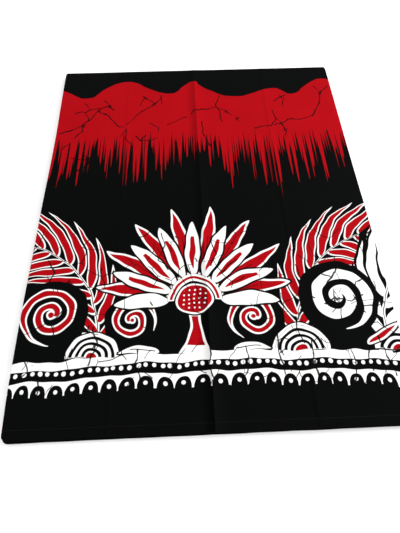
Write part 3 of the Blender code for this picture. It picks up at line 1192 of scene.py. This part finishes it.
def stitch_tree(thread):
    """Stitches along a line: a spindle of thread on each point, with a little chance in each."""
    tree = bpy.data.node_groups.new("running_stitches", "GeometryNodeTree")
    face = tree.interface
    face.new_socket("Geometry", in_out="INPUT", socket_type="NodeSocketGeometry")
    sizes = (("Pitch", STITCH_PITCH), ("Thread Radius", 0.00017), ("Stitch Length", 0.0019))
    for name, value in sizes:
        face.new_socket(name, in_out="INPUT", socket_type="NodeSocketFloat").default_value = value
    face.new_socket("Geometry", in_out="OUTPUT", socket_type="NodeSocketGeometry")
    add = Dyer(tree).node
    given = add("NodeGroupInput").outputs
    radius = given["Thread Radius"]
    line = add("GeometryNodeMeshToCurve", {}, {"Mesh": given["Geometry"]}).outputs["Curve"]
    points = add("GeometryNodeResampleCurve", {"mode": "LENGTH"}, {"Curve": line, "Length": given["Pitch"]})
    ball = add("GeometryNodeMeshUVSphere", {}, {"Segments": 8, "Rings": 6, "Radius": radius})
    stretch = add("ShaderNodeMath", {"operation": "DIVIDE"}, {0: given["Stitch Length"], 1: radius})
    half = add("ShaderNodeMath", {"operation": "MULTIPLY"}, {0: stretch.outputs[0], 1: 0.5})
    scale = add("ShaderNodeCombineXYZ", {}, {"X": half.outputs[0], "Y": 1.1, "Z": 0.75})
    spindle = add("GeometryNodeTransform", {}, {
        "Geometry": ball.outputs["Mesh"],
        "Scale": scale.outputs["Vector"],
    })
    tangent = add("GeometryNodeInputTangent").outputs["Tangent"]
    lay = add("FunctionNodeAlignRotationToVector", {"axis": "X"}, {"Vector": tangent})
    change = add("FunctionNodeRandomValue", {"data_type": "FLOAT_VECTOR"}, {
        "Min": (0.86, 0.9, 0.9),
        "Max": (1.06, 1.1, 1.1),
        "Seed": 7,
    })
    laid = add("GeometryNodeInstanceOnPoints", {}, {
        "Points": points.outputs["Curve"],
        "Instance": spindle.outputs["Geometry"],
        "Rotation": lay.outputs["Rotation"],
        "Scale": change.outputs["Value"],
    })
    row = laid.outputs["Instances"]
    for kind, sockets in (
        ("GeometryNodeRealizeInstances", {}),
        ("GeometryNodeSetMaterial", {"Material": thread}),
        ("GeometryNodeSetShadeSmooth", {}),
    ):
        row = add(kind, {}, {"Geometry": row, **sockets}).outputs["Geometry"]
    add("NodeGroupOutput", {}, {"Geometry": row})
    return tree


def make_stitches(name, tree, lower, thread):
    """A row of stitches along a hem, sunk a little into the cloth."""
    left, right = X_LEFT + STITCH_INSET, X_RIGHT - STITCH_INSET
    row = (NEAR_END + STITCH_LINE, 0.0, 0.0, 0.0)
    rise = WAIST_STITCH_SINK if lower else hem_raise(row[0], 0.0) - FRONT_STITCH_SINK
    points = []
    for step in range(STITCH_STEPS + 1):
        across = left + (right - left) * step / STITCH_STEPS
        x, y, z = place((across, 0.0, 0.0, 1.0, 0.0), row, lower)
        points.append((x, y, z + rise))
    guide_mesh = bpy.data.meshes.new(name + "_line")
    guide_mesh.from_pydata(points, [(step, step + 1) for step in range(STITCH_STEPS)], [])
    guide = linked(name + "_line", guide_mesh)
    sewing = guide.modifiers.new("sewing", "NODES")
    sewing.node_group = tree
    by_name = {item.name: item.identifier for item in tree.interface.items_tree if item.in_out == "INPUT"}
    sewing[by_name["Pitch"]] = STITCH_PITCH
    return shown(name, applied(guide), thread)


def make_floor():
    """A plain pale floor."""
    half = 3.0
    mesh = bpy.data.meshes.new("floor")
    corners = [(-half, -half, 0.0), (half, -half, 0.0), (half, half, 0.0), (-half, half, 0.0)]
    mesh.from_pydata(corners, [], [(0, 1, 2, 3)])
    dyer = Finish("pale_floor")
    dyer.looks({
        "Base Color": (0.96, 0.96, 0.96, 1.0),
        "Roughness": 0.9,
        "Specular IOR Level": 0.1,
        "Emission Color": (1.0, 1.0, 1.0, 1.0),
        "Emission Strength": 0.10,
    })
    floor_piece = shown("floor", mesh, dyer.material)
    return floor_piece


def make_lamp(name, location, target, energy, width):
    """A soft square lamp that looks at a place."""
    lamp = bpy.data.lights.new(name, "AREA")
    lamp.energy = energy
    lamp.size = width
    holder = linked(name, lamp)
    holder.location = location
    aim = [target[axis] - location[axis] for axis in range(3)]
    flat = math.hypot(aim[0], aim[1])
    holder.rotation_euler = (math.atan2(flat, -aim[2]), 0.0, math.atan2(-aim[0], aim[1]))


def light_studio():
    """Soft white light from all round, and a wide lamp to the right that picks out the creases."""
    world = bpy.data.worlds.new("studio")
    world.use_nodes = True
    background = world.node_tree.nodes["Background"]
    background.inputs["Color"].default_value = (1.0, 1.0, 1.0, 1.0)
    background.inputs["Strength"].default_value = 1.0
    bpy.context.scene.world = world
    make_lamp("right_lamp", location=(2.0, 0.45, 0.95), target=(0.0, 0.0, 0.0), energy=47.0, width=1.1)


def set_camera():
    """The camera at the photograph's angle, worked out from the pack's corners."""
    camera = bpy.data.cameras.new("camera")
    camera.sensor_fit = "VERTICAL"
    camera.sensor_height = 36.0
    camera.lens = CAMERA_LENS
    camera.clip_start = 0.01
    holder = linked("camera", camera)
    holder.location = CAMERA_PLACE
    holder.rotation_euler = [math.radians(turn) for turn in CAMERA_TURN]
    bpy.context.scene.camera = holder


def main():
    batik = batik_cotton("batik_cotton")
    black = black_cotton("black_cotton")
    thread = sewing_thread("sewing_thread")

    just_short_of_half_way = math.pi / 2 - 0.006
    panel_rows = near_rows() + flat_rows(PANEL_ROWS) + far_rows(just_short_of_half_way)
    front_face = grid_mesh("front_face", panel_path(FRONT_COLUMNS), panel_rows, raised=True)
    front = thickened("front_cloth", front_face, batik)
    back_face = grid_mesh("back_face", panel_path(BACK_COLUMNS), panel_rows, lower=True)
    back = thickened("back_cloth", back_face, black)
    going = near_rows() + flat_rows(LAYER_ROWS)
    total = 2.0 * (FAR_TURN_START - NEAR_END) + math.pi * MIDDLE
    returning = [(y, math.pi, eased, total - length) for y, _, eased, length in reversed(going)]
    layer_rows = going + far_rows(math.pi, LAYER_FAR_STEPS)[:-1] + returning
    folded_face = grid_mesh("folded_face", layer_path(LAYER_COLUMNS), layer_rows)
    folded = thickened("folded_cloth", folded_face, batik)
    front_hem = make_hem("front_hem_cloth", False, black)
    waist_hem = make_hem("waist_hem_cloth", True, black)
    tree = stitch_tree(thread)
    front_stitches = make_stitches("front_stitches", tree, False, thread)
    waist_stitches = make_stitches("waist_stitches", tree, True, thread)

    panel_wide = WIDTH + math.pi * (LEFT_TURN + RIGHT_TURN) - LEFT_TURN - RIGHT_TURN + 2 * TUCK
    panel_long = FAR_TURN_START - NEAR_END + MIDDLE * math.pi / 2
    layers_wide = 3 * (X_RIGHT - X_LEFT) - 2 * TUCK + math.pi * (FACE_4 - FACE_3) / 2
    around = 4 * (X_RIGHT - X_LEFT) + math.pi * (LEFT_TURN + 2 * RIGHT_TURN)
    for piece, node, slot_name, flat, rests in (
        (back, "back_panel", "back_cloth", (panel_wide, panel_long), "floor"),
        (waist_hem, "waist_hem", "hem_cloth", (around, HEM_DEPTH), "back_cloth"),
        (folded, "folded_layers", "layer_cloth", (layers_wide, total), "back_cloth"),
        (front_hem, "front_hem", "hem_cloth", (around, HEM_DEPTH), "folded_cloth"),
        (front, "front_panel", "front_cloth", (panel_wide, panel_long), "folded_cloth"),
    ):
        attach(piece, "root")
        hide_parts(node)
    for piece in (front_stitches, waist_stitches):
        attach(piece, "root")

    make_floor()
    light_studio()
    set_camera()
    bpy.context.scene.view_settings.view_transform = "Standard"


main()
